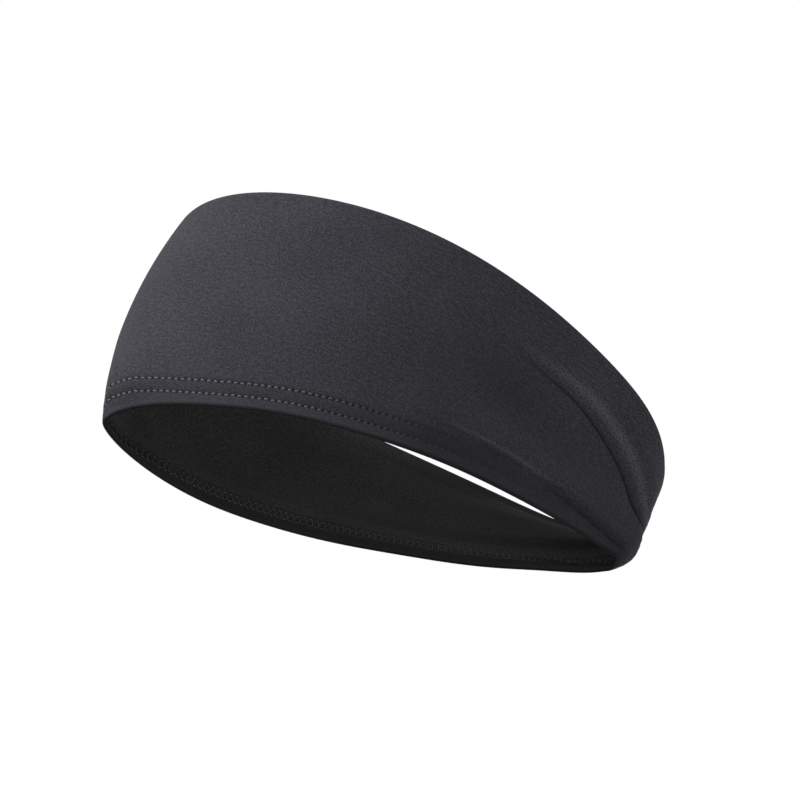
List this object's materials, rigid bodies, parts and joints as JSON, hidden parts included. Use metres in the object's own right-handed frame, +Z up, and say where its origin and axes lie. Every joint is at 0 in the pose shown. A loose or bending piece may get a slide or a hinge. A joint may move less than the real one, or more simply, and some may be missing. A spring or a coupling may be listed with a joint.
{
  "type": "sports headband",
  "caption": "Wide stretch-knit sports headband, deep over the forehead and gathered in at the centre back, with a lining and a twin-needle hem.",
  "frame": {"origin": "centre of the bounding box's base, in the plane of the hem edge that the band stands on", "axes": "+Z up from the hem to the top edge as worn; +Y to the centre back, where the band is gathered; -Y to the forehead; X across the head, the band being mirrored about X = 0"},
  "size_m": [0.1122, 0.2076, 0.0991],
  "materials": {
    "charcoal_knit": "fine marl jersey knit, matt with a faint sheen",
    "black_lining_knit": "fine black jersey knit, matt",
    "charcoal_needle_thread": "spun polyester thread, satin",
    "black_looper_thread": "textured polyester looper thread, matt",
    "black_seam_thread": "spun polyester thread, matt"
  },
  "bodies": {
    "root": {"outer_panel": "charcoal_knit", "lining_panel": "black_lining_knit", "hem_needle_thread_lower": "charcoal_needle_thread", "hem_needle_thread_upper": "charcoal_needle_thread", "hem_looper_thread": "black_looper_thread", "top_seam_thread": "black_seam_thread", "outer_back_seam_thread": "black_seam_thread", "lining_back_seam_thread": "black_seam_thread"}
  },
  "joints": []
}
